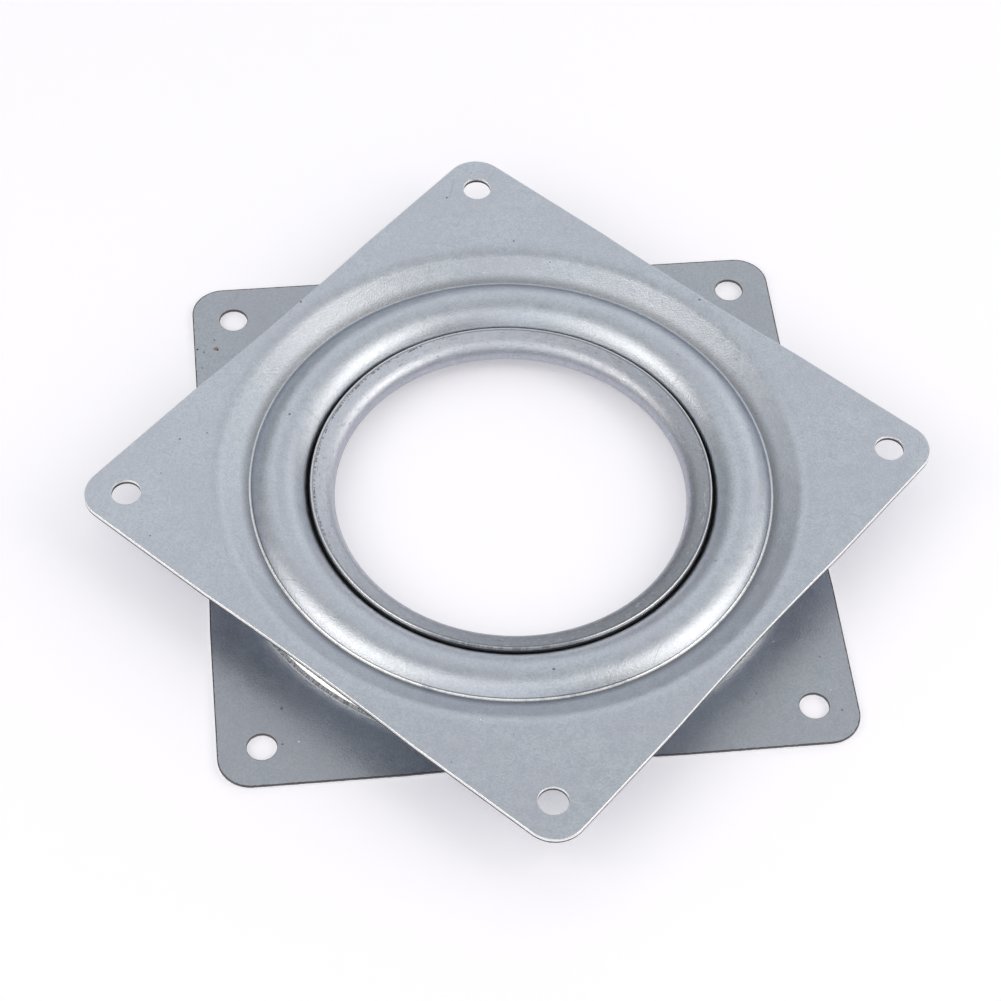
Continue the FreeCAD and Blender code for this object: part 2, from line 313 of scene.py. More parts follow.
def shearedEnd(roll, cut, outward):
    # (run, depth, band) from a face round a sheared edge to the back: rolled, burnished, then torn
    sheet = pressing["sheet"]
    torn = cut * sheet
    step = shear["tornStep"]
    points = [(-roll, 0.0, faceBand)]
    steps = 6
    for turn in range(1, steps + 1):
        angle = math.pi / 2 * turn / steps
        depth = roll * (1 - math.cos(angle))
        points.append((roll * (math.sin(angle) - 1), depth, wallBand + 0.5 * depth / torn))
    points += [(0.0, torn, tornBand), (-step, torn + step, tornBand + 0.05),
               (0.0, sheet - step, wallEndBand), (-step, sheet, burrBand)]
    return [(outward * run, depth, band) for run, depth, band in points]


def sectionPoints(withHub):
    # the whole section as (radius, depth, band), from the flat face round the inner end to the flat back
    chain = pressedChain(withHub)
    face = alongChain(chain)
    end, normal = face[-1]
    along = (chain[-1]["end"] - chain[-1]["start"]).normalized()
    roll = shear["lipRoll"] if withHub else shear["boreRoll"]
    points = [(p.x, -p.y, faceBand) for p, _ in face[:-1]]
    for run, depth, band in shearedEnd(roll, shear["edgeCut"], 1):
        spot = end + along * run + normal * depth
        points.append((spot.x, -spot.y, band if band < burrBand else backBand))
    for p, n in reversed(face[:-1]):
        spot = p + n * pressing["sheet"]
        points.append((spot.x, -spot.y, backBand))
    return points


def edgePoints(kind, outward):
    # a sheared edge of the flat rim, from a narrow strip of face to a narrow strip of back
    roll, strip = shear[kind + "Roll"], shear[kind + "Strip"]
    start = (-outward * (roll + strip), 0.0, faceBand)
    end = (-outward * (strip + shear["tornStep"]), pressing["sheet"], backBand)
    return [start] + shearedEnd(roll, shear[kind + "Cut"], outward) + [end]


def edgeMesh(name, points, shift=0.0):
    # an open chain of edges with its bands, for the trees to sweep
    mesh = bpy.data.meshes.new(name)
    corners = [((x - shift) * mm, y * mm, 0) for x, y, _ in points]
    mesh.from_pydata(corners, [(i, i + 1) for i in range(len(corners) - 1)], [])
    mesh.attributes.new("band", "FLOAT", "POINT").data.foreach_set("value", [band for _, _, band in points])
    chain = bpy.data.objects.new(name, mesh)
    bpy.context.scene.collection.objects.link(chain)
    return chain


def outlineCurve(name):
    # the blank's outline, counterclockwise: rounded corners, and sides drawn in at the middle
    half, corner = pressing["side"] / 2, pressing["cornerRadius"]
    length, depth = pressing["drawInHalfLength"], pressing["drawIn"]
    bow = (length ** 2 + depth ** 2) / (2 * depth)
    bowSteps, cornerSteps = 16, 18
    quarter = []
    for step in range(bowSteps + 1):
        y = length * (2 * step / bowSteps - 1)
        quarter.append((half - depth + bow - math.sqrt(bow ** 2 - y ** 2), y))
    for step in range(cornerSteps + 1):
        angle = math.pi / 2 * step / cornerSteps
        quarter.append((half - corner + corner * math.cos(angle), half - corner + corner * math.sin(angle)))
    points = []
    for turn in range(4):
        cosine, sine = round(math.cos(turn * math.pi / 2)), round(math.sin(turn * math.pi / 2))
        points += [(cosine * x - sine * y, sine * x + cosine * y) for x, y in quarter]
    curve = bpy.data.curves.new(name, "CURVE")
    curve.dimensions = "3D"
    spline = curve.splines.new("POLY")
    spline.points.add(len(points) - 1)
    for spot, (x, y) in zip(spline.points, points):
        spot.co = (x * mm, y * mm, 0, 1)
    spline.use_cyclic_u = True
    outline = bpy.data.objects.new(name, curve)
    bpy.context.scene.collection.objects.link(outline)
    return outline


def plateTree():
    # sweeps the sheared edges along the outline and the holes, revolves the section, and fills the flats
    tree = bpy.data.node_groups.new("pressedPlate", "GeometryNodeTree")
    groupSockets(tree, [
        ("Outline", "Geometry", None), ("Section", "Object", None), ("Outer Edge", "Object", None),
        ("Hole Edge", "Object", None), ("Section Radius", "Float", 0.04), ("Hole Spacing", "Float", 0.09),
        ("Hole Radius", "Float", 0.0025), ("Sheet", "Float", 0.0009), ("Segments", "Int", 360),
        ("Hole Segments", "Int", 64), ("Edge Step", "Float", 0.0006), ("Ragged", "Float", 0.00006),
        ("Ragged Scale", "Float", 900.0), ("Seed", "Float", 3.0), ("Material", "Material", None)],
        [("Geometry", "Geometry")])
    given = tree.nodes.new("NodeGroupInput").outputs

    def sweep(path, name):
        shown = addNode(tree, "GeometryNodeObjectInfo", object=given[name]).outputs["Geometry"]
        profile = addNode(tree, "GeometryNodeMeshToCurve", mesh=shown).outputs[0]
        upright = addNode(tree, "GeometryNodeSetCurveNormal", {"mode": "Z_UP"}, curve=path).outputs[0]
        return addNode(tree, "GeometryNodeCurveToMesh", curve=upright, profilecurve=profile).outputs[0]

    def circle(segments, radius):
        return addNode(tree, "GeometryNodeCurvePrimitiveCircle", resolution=given[segments],
                       radius=given[radius]).outputs[0]

    outline = addNode(tree, "GeometryNodeResampleCurve", {"mode": "LENGTH"}, curve=given["Outline"],
                      length=given["Edge Step"]).outputs[0]
    hole = sweep(circle("Hole Segments", "Hole Radius"), "Hole Edge")
    corners = addNode(tree, "GeometryNodeMeshGrid", sizex=given["Hole Spacing"],
                      sizey=given["Hole Spacing"], verticesx=2, verticesy=2).outputs[0]
    holes = addNode(tree, "GeometryNodeInstanceOnPoints", points=corners, instance=hole).outputs[0]
    holes = addNode(tree, "GeometryNodeRealizeInstances", geometry=holes).outputs[0]
    walls = addNode(tree, "GeometryNodeJoinGeometry")
    ring = circle("Segments", "Section Radius")
    for part in (sweep(outline, "Outer Edge"), sweep(ring, "Section"), holes):
        tree.links.new(part, walls.inputs[0])

    # the open edges bound the flat face at height 0 and the flat back one sheet below it
    position = addNode(tree, "GeometryNodeInputPosition").outputs[0]
    height = addNode(tree, "ShaderNodeSeparateXYZ", vector=position).outputs["Z"]
    middle = times(tree, given["Sheet"], -0.5)
    neighbours = addNode(tree, "GeometryNodeInputMeshEdgeNeighbors").outputs[0]
    isOpen = compared(tree, neighbours, "EQUAL", 1, "INT")
    whole = addNode(tree, "GeometryNodeJoinGeometry")
    tree.links.new(walls.outputs[0], whole.inputs[0])
    for side, drop, value in (("GREATER_THAN", 0.0, faceBand), ("LESS_THAN", -1.0, backBand)):
        chosen = andBoth(tree, isOpen, compared(tree, height, side, middle))
        loops = addNode(tree, "GeometryNodeMeshToCurve", mesh=walls.outputs[0], selection=chosen).outputs[0]
        flat = addNode(tree, "GeometryNodeFillCurve", curve=loops).outputs[0]
        shift = addNode(tree, "ShaderNodeCombineXYZ", z=times(tree, given["Sheet"], drop)).outputs[0]
        flat = addNode(tree, "GeometryNodeTransform", geometry=flat, translation=shift).outputs[0]
        flat = addNode(tree, "GeometryNodeStoreNamedAttribute", {"data_type": "FLOAT", "domain": "POINT"},
                       geometry=flat, name="band", value=value).outputs[0]
        tree.links.new(flat, whole.inputs[0])
    merged = addNode(tree, "GeometryNodeMergeByDistance", geometry=whole.outputs[0],
                     distance=2e-6).outputs[0]

    # the torn part of every wall is ragged
    band = addNode(tree, "GeometryNodeInputNamedAttribute", {"data_type": "FLOAT"}, name="band").outputs[0]
    torn = andBoth(tree, compared(tree, band, "GREATER_THAN", tornBand - 0.01),
                   compared(tree, band, "LESS_THAN", wallEndBand))
    chips = addNode(tree, "ShaderNodeTexNoise", {"noise_dimensions": "4D"}, w=given["Seed"],
                    scale=given["Ragged Scale"], detail=2.0).outputs[0]
    normal = addNode(tree, "GeometryNodeInputNormal").outputs[0]
    offset = vectorMath(tree, "SCALE", normal, scale=centred(tree, chips, given["Ragged"]))
    chipped = addNode(tree, "GeometryNodeSetPosition", geometry=merged, selection=torn,
                      offset=offset).outputs[0]

    smooth = addNode(tree, "GeometryNodeSetShadeSmooth", geometry=chipped).outputs[0]
    real = addNode(tree, "GeometryNodeRealizeInstances", geometry=smooth).outputs[0]
    done = addNode(tree, "GeometryNodeSetMaterial", geometry=real, material=given["Material"]).outputs[0]
    tree.links.new(done, tree.nodes.new("NodeGroupOutput").inputs[0])
    return tree


def plainMesh(source, tree, name, settings, place):
    # runs a tree on an object and keeps the result as a plain closed mesh, set in its place
    modifier = source.modifiers.new(tree.name, "NODES")
    modifier.node_group = tree
    for item in tree.interface.items_tree:
        if item.name in settings:
            modifier[item.identifier] = settings[item.name]
    depsgraph = bpy.context.evaluated_depsgraph_get()
    mesh = bpy.data.meshes.new_from_object(source.evaluated_get(depsgraph), depsgraph=depsgraph)
    mesh.name = name
    source.modifiers.remove(modifier)
    bpy.data.objects.remove(source)
    shaped = bmesh.new()
    shaped.from_mesh(mesh)
    bmesh.ops.recalc_face_normals(shaped, faces=shaped.faces)
    openEdges = sum(1 for edge in shaped.edges if len(edge.link_faces) != 2)
    shaped.to_mesh(mesh)
    shaped.free()
    mesh.transform(place)
    mesh.set_sharp_from_angle(angle=math.radians(pressing["sharpAngle"]))
    piece = bpy.data.objects.new(name, mesh)
    bpy.context.scene.collection.objects.link(piece)
    triangles = sum(len(face.vertices) - 2 for face in mesh.polygons)
    print(f"{name}: {triangles} triangles, {openEdges} open edges")
    return piece


# node groups for the finishes

def effectGroup(name, inputs, outputs):
    tree = bpy.data.node_groups.new(name, "ShaderNodeTree")
    groupSockets(tree, inputs, outputs)
    return tree, tree.nodes.new("NodeGroupInput").outputs, tree.nodes.new("NodeGroupOutput").inputs


def mottleGroup():
    # the cloudy tone of a zinc coat and its fine crystals
    tree, given, shown = effectGroup("mottle", [
        ("Place", "Vector", None), ("Cloud Scale", "Float", 90.0), ("Patch Scale", "Float", 500.0),
        ("Crystal Scale", "Float", 3600.0)],
        [("Clouds", "Float"), ("Patches", "Float"), ("Crystals", "Float"), ("Grain", "Float")])
    clouds = noise(tree, given["Place"], given["Cloud Scale"], 3.0, 0.55)
    patches = noise(tree, given["Place"], given["Patch Scale"], 3.0, 0.6)
    crystals = addNode(tree, "ShaderNodeTexVoronoi", vector=given["Place"], scale=given["Crystal Scale"])
    tone = addNode(tree, "ShaderNodeSeparateColor", color=crystals.outputs["Color"]).outputs[0]
    grain = noise(tree, given["Place"], given["Crystal Scale"], 2.0, 0.6)
    for socket, source in zip(shown, (clouds, patches, tone, grain)):
        tree.links.new(source, socket)
    return tree


def strokesGroup():
    # streaks about the turning axis: radial where Around is large, running round where Outward is
    tree, given, shown = effectGroup("strokes", [
        ("Place", "Vector", None), ("Around", "Float", 120.0), ("Outward", "Float", 500.0)],
        [("Stroke", "Float")])
    axes = addNode(tree, "ShaderNodeSeparateXYZ", vector=given["Place"]).outputs
    flat = addNode(tree, "ShaderNodeCombineXYZ", x=axes[0], y=axes[1]).outputs[0]
    around = vectorMath(tree, "SCALE", vectorMath(tree, "NORMALIZE", flat), scale=given["Around"])
    outward = times(tree, plus(tree, vectorMath(tree, "LENGTH", flat), axes[2]), given["Outward"])
    lift = addNode(tree, "ShaderNodeCombineXYZ", z=outward).outputs[0]
    streaks = noise(tree, vectorMath(tree, "ADD", around, input1=lift), 1.0, 2.0, 0.6)
    tree.links.new(streaks, shown[0])
    return tree


def specksGroup():
    # small scattered dots: Share of the cells holds one
    tree, given, shown = effectGroup("specks", [
        ("Place", "Vector", None), ("Cells", "Float", 200.0), ("Share", "Float", 0.2),
        ("Size", "Float", 0.05)], [("Mask", "Float")])
    cells = addNode(tree, "ShaderNodeTexVoronoi", {"voronoi_dimensions": "2D"}, vector=given["Place"],
                    scale=given["Cells"])
    tones = addNode(tree, "ShaderNodeSeparateColor", color=cells.outputs["Color"]).outputs
    chosen = math2(tree, "LESS_THAN", tones[0], given["Share"])
    size = times(tree, given["Size"], plus(tree, tones[1], 0.4))
    reach = math2(tree, "DIVIDE", cells.outputs["Distance"], size)
    tree.links.new(times(tree, chosen, rising(tree, reach, 1.1, 0.7)), shown[0])
    return tree


def markGroup():
    # one mark about a spot, whose border wanders with a noise
    tree, given, shown = effectGroup("mark", [
        ("Place", "Vector", None), ("Border", "Float", 0.5), ("Spot", "Vector", None),
        ("Reach", "Float", 0.001), ("Ragged", "Float", 0.5)], [("Mask", "Float")])
    away = vectorMath(tree, "DISTANCE", given["Place"], input1=given["Spot"])
    share = math2(tree, "DIVIDE", away, given["Reach"])
    push = times(tree, centred(tree, given["Border"], given["Ragged"]), 4.0)
    tree.links.new(rising(tree, plus(tree, share, push), 1.0, 0.6), shown[0])
    return tree


def scratchesGroup():
    # short fine lines, all turned one way
    tree, given, shown = effectGroup("scratches", [
        ("Place", "Vector", None), ("Turn", "Float", 0.3), ("Length", "Float", 0.006),
        ("Spacing", "Float", 0.004), ("Width", "Float", 0.00005), ("Share", "Float", 0.3)],
        [("Mask", "Float")])
    turned = addNode(tree, "ShaderNodeVectorRotate", {"rotation_type": "Z_AXIS"}, vector=given["Place"],
                     angle=given["Turn"]).outputs[0]
    axes = addNode(tree, "ShaderNodeSeparateXYZ", vector=turned).outputs
    across = math2(tree, "DIVIDE", axes[1], given["Spacing"])
    along = math2(tree, "DIVIDE", axes[0], given["Length"])
    spread = addNode(tree, "ShaderNodeCombineXYZ", x=along, y=across).outputs[0]
    cells = addNode(tree, "ShaderNodeTexVoronoi", {"voronoi_dimensions": "2D"}, vector=spread, scale=1.0)
    tones = addNode(tree, "ShaderNodeSeparateColor", color=cells.outputs["Color"]).outputs
    centre = addNode(tree, "ShaderNodeSeparateXYZ", vector=cells.outputs["Position"]).outputs
    run = math2(tree, "SUBTRACT", along, centre[0])
    lean = times(tree, centred(tree, tones[2], run), 0.8)
    rise = math2(tree, "SUBTRACT", math2(tree, "SUBTRACT", across, centre[1]), lean)
    away = times(tree, math2(tree, "ABSOLUTE", rise), given["Spacing"])
    thin = rising(tree, math2(tree, "DIVIDE", away, given["Width"]), 1.0, 0.4)
    ended = rising(tree, math2(tree, "ABSOLUTE", run), 0.42, 0.25)
    chosen = math2(tree, "LESS_THAN", tones[0], given["Share"])
    tree.links.new(times(tree, thin, ended, chosen), shown[0])
    return tree


effects = {"mottle": mottleGroup(), "strokes": strokesGroup(), "specks": specksGroup(), "mark": markGroup(),
           "scratches": scratchesGroup()}
print(f"finishes: {len(effects)} effect groups")


def effect(tree, name, place, **values):
    # one of the effect groups in a material, with its own values
    node = tree.nodes.new("ShaderNodeGroup")
    node.node_tree = effects[name]
    tree.links.new(place, node.inputs["Place"])
    for socketName, given in values.items():
        socket = node.inputs[socketName.replace("_", " ")]
        if isinstance(given, bpy.types.NodeSocket):
            tree.links.new(given, socket)
        else:
            socket.default_value = given
    return node.outputs


def metalMaterial(name):
    # a bare Principled metal with its object coordinates
    material = bpy.data.materials.new(name)
    material.use_nodes = True
    tree = material.node_tree
    shader = tree.nodes["Principled BSDF"]
    shader.inputs["Metallic"].default_value = 1.0
    return material, tree, shader, addNode(tree, "ShaderNodeTexCoord").outputs["Object"]


zinc = {  # colours as the coat shows them, and how strongly each scale of its mottle shows
    "dull": (0.515, 0.563, 0.626),
    "bright": (0.625, 0.662, 0.728),
    "violet": (0.57, 0.59, 0.665),
    # the burnished colour also paints highlights on the crease, the lip's edge and the lower plate's drawn
    # slope
    "burnished": (0.90, 0.905, 0.91),
    "torn": (0.145, 0.135, 0.14),
    # the grease colour also paints shade beside the valley's crease and in the slit
    "grease": (0.085, 0.085, 0.09),
    "pit": (0.10, 0.10, 0.11),
    "nick": (0.92, 0.92, 0.93),
    "crystals": 1.1,
    "grain": 1.8,
    "patches": 1.5,
    "clouds": 0.8,
    "violetCast": 0.4,
    "roughness": 0.33,
    "roughPatches": 0.25,
    "polish": 0.24,
    "tornRoughness": 0.55,
    "grainHeight": 2.0,
    "patchHeight": 0.3,
    "bumpDepth": 0.000025,  # metres
}

nearSide = 261  # the side that faces the photograph's camera, in degrees about the axis

# in mm, a pair is where a tone starts and where it is full, and a triple is a ring's radius, reach and fade

crease = {  # the crease in the valley, burnished, with a painted highlight toward the near side, the die's line beside it, and painted shade on the slope beside the crease
    "folded": (valleyRadius, 0.17, 0.1),
    "dieLine": (42.66, 0.03, 0.06),
    "dieLineTone": 0.7,
    "scrapedStart": (43.0, 43.2),
    "scrapedEnd": (44.9, 43.2),
    "scraped": 0.53,
}

lowerPlate = {  # its sheet darkened as painted shade under the upper plate, the die's scoring at the head of its slope, and the drawn slope inside it, burnished with a painted highlight
    # painted shade: the sheet below these heights, all but the hub, takes the darker tone
    "dark": (6.0, 5.0),
    "tone": 0.79,
    "roughness": 0.07,
    "score": (47.75, 0.22, 0.15),
    "scoreHeight": 1.5,
    "scoreRoughness": 0.5,
    "drawnRadius": (47.5, 47.3),
    "drawnFoot": (1.2, 1.5),
    "drawnHead": (3.4, 3.0),
    "drawn": 0.7,
    "drawnRoughness": 0.26,
}

lip = {  # the hub's lip, with directions in degrees about the axis
    "foot": (2.5, 4.5),
    # painted light and shade: the lip is lighter toward this side and darker opposite it
    "brightSide": 122,
    "bright": 1.1,
    "dark": 0.54,
    "violet": 0.5,
    "streaks": 0.14,
    "darkScuffs": 0.35,
    "brightScuffs": 0.3,
    "dashSide": 152,
    "dashes": (32.45, 0.09, 0.08),
    "hairline": (32.68, 0.05, 0.06),
    "lineTone": 0.75,
}

slit = {  # where grease and painted shade darken the slit round the hub
    "heights": (6.4, 5.2),
    "inner": (30.3, 31.2),
    "outer": (44.0, 42.0),
    "upperPlate": (33.7, 33.3),
    "grease": 0.5,
}

damage = {  # how strongly each kind shows
    "pits": 0.7,
    "nicks": 0.7,
    "scratches": 0.2,
    "dents": 0.8,
    "marks": 0.95,
}

marks = {  # spots on each plate, in mm from the turning axis: x, y, height, reach, raggedness and colour
    "lowerSheet": [
        (-47.1, 37.5, 0.9, 0.5, 0.35, (0.34, 0.20, 0.13)),
        (-46.8, 37.2, 0.9, 0.22, 0.4, (0.05, 0.04, 0.04)),
        (-50.3, 37.6, 0.9, 0.24, 0.3, (0.05, 0.05, 0.05)),
        (-47.3, 39.5, 0.9, 0.14, 0.6, (0.10, 0.10, 0.11)),
        (-48.9, 38.3, 0.9, 0.13, 0.6, (0.10, 0.10, 0.11)),
        (-49.2, 36.9, 0.9, 0.16, 0.6, (0.12, 0.12, 0.13)),
        (-48.1, 35.9, 0.9, 0.12, 0.6, (0.12, 0.12, 0.13)),
        (-49.6, 33.4, 0.9, 0.16, 0.6, (0.13, 0.13, 0.14)),
        (-40.2, -36.9, 0.9, 0.35, 0.8, (0.22, 0.23, 0.25)),
        (-40.5, -43.5, 0.9, 0.2, 0.5, (0.12, 0.12, 0.14)),
        (-38.0, -43.3, 0.9, 0.22, 0.7, (0.9, 0.9, 0.92)),
        (34.9, -40.6, 0.9, 0.22, 0.5, (0.12, 0.12, 0.14)),
        (48.0, -44.9, 0.9, 0.18, 0.5, (0.12, 0.12, 0.14)),
        (46.9, -41.0, 0.9, 0.15, 0.4, (0.9, 0.9, 0.92)),
        (39.3, -31.0, 0.9, 0.18, 0.9, (0.80, 0.81, 0.83)),
        # two painted glints where small dents in the lip catch the light
        (31.0, -2.4, 7.85, 0.55, 0.9, (0.93, 0.93, 0.94)),
        (30.2, -6.3, 7.95, 0.45, 0.9, (0.90, 0.90, 0.92)),
    ],
    "upperSheet": [
        (-53.8, 10.9, 10.2, 0.22, 0.4, (0.07, 0.07, 0.08)),
        (-49.3, 11.8, 10.2, 0.16, 0.4, (0.10, 0.10, 0.11)),
        (-57.1, 4.1, 10.2, 0.14, 0.4, (0.12, 0.12, 0.13)),
        (-59.3, -8.4, 10.2, 0.16, 0.4, (0.12, 0.12, 0.13)),
        (-32.1, 39.0, 10.2, 0.2, 0.4, (0.10, 0.10, 0.11)),
        (-32.9, 33.7, 10.2, 0.15, 0.4, (0.12, 0.12, 0.13)),
        (-4.9, 61.1, 10.2, 0.24, 0.7, (0.09, 0.09, 0.10)),
        (5.8, 50.0, 10.2, 0.2, 0.4, (0.08, 0.08, 0.09)),
        (17.3, 39.0, 9.6, 0.2, 0.4, (0.12, 0.12, 0.13)),
        (36.2, 34.0, 10.2, 0.2, 0.4, (0.08, 0.08, 0.09)),
        (-28.0, 22.7, 9.3, 0.25, 0.6, (0.13, 0.13, 0.14)),
        (-35.5, 15.4, 9.3, 0.3, 0.7, (0.25, 0.25, 0.27)),
        (30.8, 23.0, 9.3, 0.15, 0.8, (0.26, 0.27, 0.29)),
        (31.2, 22.6, 9.3, 0.15, 0.8, (0.26, 0.27, 0.29)),
        (32.1, 21.6, 9.3, 0.16, 0.8, (0.28, 0.29, 0.31)),
        (2.3, -38.7, 9.3, 0.22, 0.5, (0.16, 0.17, 0.19)),
        (-15.6, -34.7, 9.3, 0.16, 0.4, (0.92, 0.92, 0.93)),
        (-10.1, -47.5, 10.2, 0.18, 0.4, (0.92, 0.92, 0.93)),
        (1.7, -47.6, 10.2, 0.15, 0.4, (0.92, 0.92, 0.93)),
    ],
}


def spotOf(tree, place):
    # what the finishes need to know of a spot: where it lies about the turning axis, and its band
    axes = addNode(tree, "ShaderNodeSeparateXYZ", vector=place).outputs
    flat = addNode(tree, "ShaderNodeCombineXYZ", x=axes[0], y=axes[1]).outputs[0]
    return {
        "place": place,
        "height": axes[2],
        "radius": vectorMath(tree, "LENGTH", flat),
        "turn": vectorMath(tree, "NORMALIZE", flat),
        "band": addNode(tree, "ShaderNodeAttribute", {"attribute_name": "band"}).outputs["Fac"],
        "mottle": effect(tree, "mottle", place),
    }


def passing(tree, value, start, end):
    # rising, with its limits in mm
    return rising(tree, value, start * mm, end * mm)


def ring(tree, spot, radius, reach, fade):
    # a ring about the axis, in mm
    return near(tree, spot["radius"], radius * mm, reach * mm, fade * mm)


def facing(tree, spot, degrees):
    # how far a spot lies to one side of the axis, from -1 to 1
    side = (math.cos(math.radians(degrees)), math.sin(math.radians(degrees)), 0)
    return vectorMath(tree, "DOT_PRODUCT", spot["turn"], input1=side)


def strokes(tree, spot, around, outward):
    return effect(tree, "strokes", spot["place"], Around=around, Outward=outward)["Stroke"]


def paint(tree, look, colour, *masks):
    look["colour"] = mixed(tree, times(tree, *masks), look["colour"], colour)


def zincCoat(tree, spot):
    # dull and bright crystals, with a slight violet cast in broad clouds
    mottle = spot["mottle"]
    swings = [centred(tree, mottle[scale], zinc[scale.lower()])
              for scale in ("Patches", "Crystals", "Clouds", "Grain")]
    tone = math2(tree, "ADD", plus(tree, *swings), 0.5, clamp=True)
    look = {
        "colour": mixed(tree, tone, zinc["dull"], zinc["bright"]),
        "rough": plus(tree, centred(tree, mottle["Patches"], zinc["roughPatches"]), zinc["roughness"]),
        "height": plus(tree, times(tree, mottle["Grain"], zinc["grainHeight"]),
                       times(tree, mottle["Patches"], zinc["patchHeight"])),
    }
    paint(tree, look, zinc["violet"], rising(tree, mottle["Clouds"], 0.58, 0.40), zinc["violetCast"])
    return look


def lowerTones(tree, spot, look, onHub):
    # painted shade on the lower plate's sheet under the upper plate, painted light and shade on its lip by
    # side, the scored part of its slope, and the drawn part, burnished with a painted highlight
    height = spot["height"]
    score = strokes(tree, spot, around=230.0, outward=2200.0)
    scored = ring(tree, spot, *lowerPlate["score"])
    drawn = times(tree, passing(tree, spot["radius"], *lowerPlate["drawnRadius"]),
                  passing(tree, height, *lowerPlate["drawnFoot"]),
                  passing(tree, height, *lowerPlate["drawnHead"]))
    # painted shade on the sheet under the upper plate
    low = passing(tree, height, *lowerPlate["dark"])
    # painted light and shade on the lip by side
    lipSideLight = addNode(tree, "ShaderNodeMapRange", value=facing(tree, spot, lip["brightSide"]), frommin=-1.0,
                      frommax=1.0, tomin=lip["dark"], tomax=lip["bright"]).outputs[0]
    shadeAndSideLight = mixed(tree, low, mixed(tree, onHub, 1.0, lipSideLight), lowerPlate["tone"])
    shadeAndSideLight = addNode(tree, "ShaderNodeCombineColor", red=shadeAndSideLight, green=shadeAndSideLight, blue=shadeAndSideLight).outputs[0]
    ticks = plus(tree, times(tree, rising(tree, score, 0.46, 0.58), 0.6), 0.2)
    paint(tree, look, zinc["torn"], ticks, scored)
    paint(tree, look, zinc["violet"], onHub, lip["violet"])
    look["colour"] = mixed(tree, 1.0, look["colour"], shadeAndSideLight, "MULTIPLY")
    # painted highlight: the drawn slope is painted burnished bright
    paint(tree, look, zinc["burnished"], drawn, lowerPlate["drawn"])
    look["height"] = plus(tree, look["height"], times(tree, score, scored, lowerPlate["scoreHeight"]))
    duller = times(tree, math2(tree, "MAXIMUM", low, onHub), lowerPlate["roughness"])
    rough = mixed(tree, drawn, plus(tree, look["rough"], duller), lowerPlate["drawnRoughness"])
    look["rough"] = mixed(tree, scored, rough, lowerPlate["scoreRoughness"])


def lipWear(tree, spot, look, onHub):
    # radial streaks and scuffs on the lip, a hairline inside its edge, and dashes beside it on one side
    streak = strokes(tree, spot, around=150.0, outward=500.0)
    look["height"] = plus(tree, look["height"], times(tree, streak, onHub, 0.8))
    look["rough"] = plus(tree, look["rough"], times(tree, centred(tree, streak, onHub), 0.5))
    paint(tree, look, zinc["torn"], rising(tree, streak, 0.55, 0.75), onHub, lip["streaks"])
    scuff = strokes(tree, spot, around=26.0, outward=2600.0)
    paint(tree, look, zinc["torn"], rising(tree, scuff, 0.60, 0.70), onHub, lip["darkScuffs"])
    paint(tree, look, zinc["burnished"], rising(tree, scuff, 0.40, 0.30), onHub, lip["brightScuffs"])
    broken = rising(tree, strokes(tree, spot, around=62.0, outward=900.0), 0.46, 0.56)
    dashes = times(tree, broken, rising(tree, facing(tree, spot, lip["dashSide"]), 0.60, 0.78),
                   ring(tree, spot, *lip["dashes"]))
    hairline = times(tree, ring(tree, spot, *lip["hairline"]), 0.7)
    paint(tree, look, zinc["grease"], math2(tree, "MAXIMUM", dashes, hairline), onHub, lip["lineTone"])


def lipEdgeHighlight(tree, spot, onHub):
    # painted highlight on the lip's burnished rolled edge: full all round, but only in patches on the near
    # side
    patchy = rising(tree, strokes(tree, spot, around=34.0, outward=60.0), 0.46, 0.56)
    aside = rising(tree, facing(tree, spot, nearSide), 0.98, 0.88)
    return mixed(tree, onHub, 1.0, math2(tree, "MAXIMUM", times(tree, patchy, 0.35), aside))


def creaseWear(tree, spot, look, shine):
    # painted shade on the slope beside the valley's crease, a burnished crease with a painted highlight
    # toward the near side, and burnished rolled edges, which on the lip carry a painted highlight
    radius, band, patches = spot["radius"], spot["band"], spot["mottle"]["Patches"]
    uneven = plus(tree, times(tree, patches, 0.5), 0.75)
    # painted shade: the slope darkens towards the crease
    paint(tree, look, zinc["grease"], passing(tree, radius, *crease["scrapedEnd"]),
          passing(tree, radius, *crease["scrapedStart"]), uneven, crease["scraped"])
    # painted highlight: the crease is painted burnished, mostly on the near side
    folded = times(tree, ring(tree, spot, *crease["folded"]), rising(tree, patches, 0.25, 0.5),
                   rising(tree, facing(tree, spot, nearSide), -0.5, 0.6))
    rolled = times(tree, rising(tree, band, wallBand - 0.5, wallBand),
                   rising(tree, band, wallEndBand + 0.05, wallEndBand), shine)
    polishedAndHighlight = math2(tree, "MAXIMUM", folded, rolled)
    paint(tree, look, zinc["burnished"], polishedAndHighlight)
    look["rough"] = mixed(tree, polishedAndHighlight, look["rough"], zinc["polish"])


def dieLine(tree, spot, look):
    # the die's hairline beside the upper plate's valley
    toNear = rising(tree, facing(tree, spot, nearSide), -0.4, 0.4)
    paint(tree, look, zinc["grease"], ring(tree, spot, *crease["dieLine"]), toNear,
          rising(tree, spot["band"], 0.5, 0.1), crease["dieLineTone"])


def tornWalls(tree, spot, look, chips):
    # a sheared wall is torn below its burnished part, with a thin burr along the back
    band = spot["band"]
    depth = plus(tree, band, centred(tree, chips, 0.35))
    burr = plus(tree, band, centred(tree, chips, 0.8))
    torn = times(tree, rising(tree, depth, tornBand - 0.04, tornBand + 0.02),
                 rising(tree, burr, backBand - 0.1, backBand - 0.3),
                 rising(tree, band, backBand - 0.01, backBand - 0.1))
    paint(tree, look, zinc["torn"], torn)
    look["rough"] = mixed(tree, torn, look["rough"], zinc["tornRoughness"])


